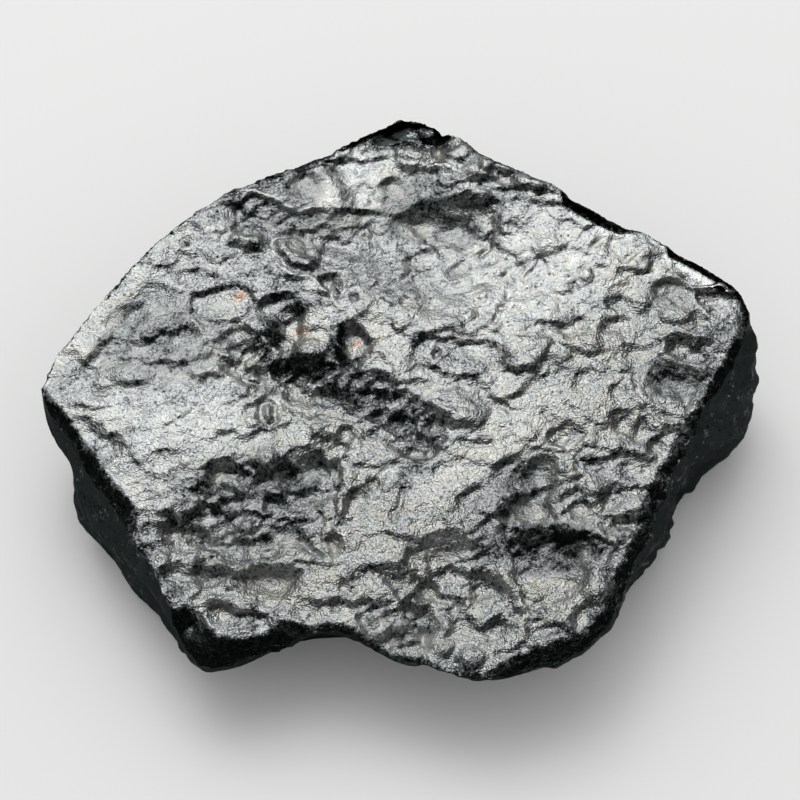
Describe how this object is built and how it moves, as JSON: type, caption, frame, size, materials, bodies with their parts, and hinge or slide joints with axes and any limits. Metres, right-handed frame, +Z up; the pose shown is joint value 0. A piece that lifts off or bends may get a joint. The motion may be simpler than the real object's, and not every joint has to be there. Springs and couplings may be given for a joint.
{
  "type": "meteorite",
  "caption": "Slab-shaped stony meteorite with a glossy black fusion crust, thumbprint hollows and melt bubbles, lying on its flat underside.",
  "frame": {"origin": "middle of the underside, on the ground", "axes": "+X along the longest side to the right, +Y towards the thick end, +Z up from the flat underside"},
  "size_m": [0.0933, 0.0787, 0.0265],
  "materials": {
    "fusion_crust": "glossy"
  },
  "bodies": {
    "root": {"meteorite": "fusion_crust"}
  },
  "joints": []
}
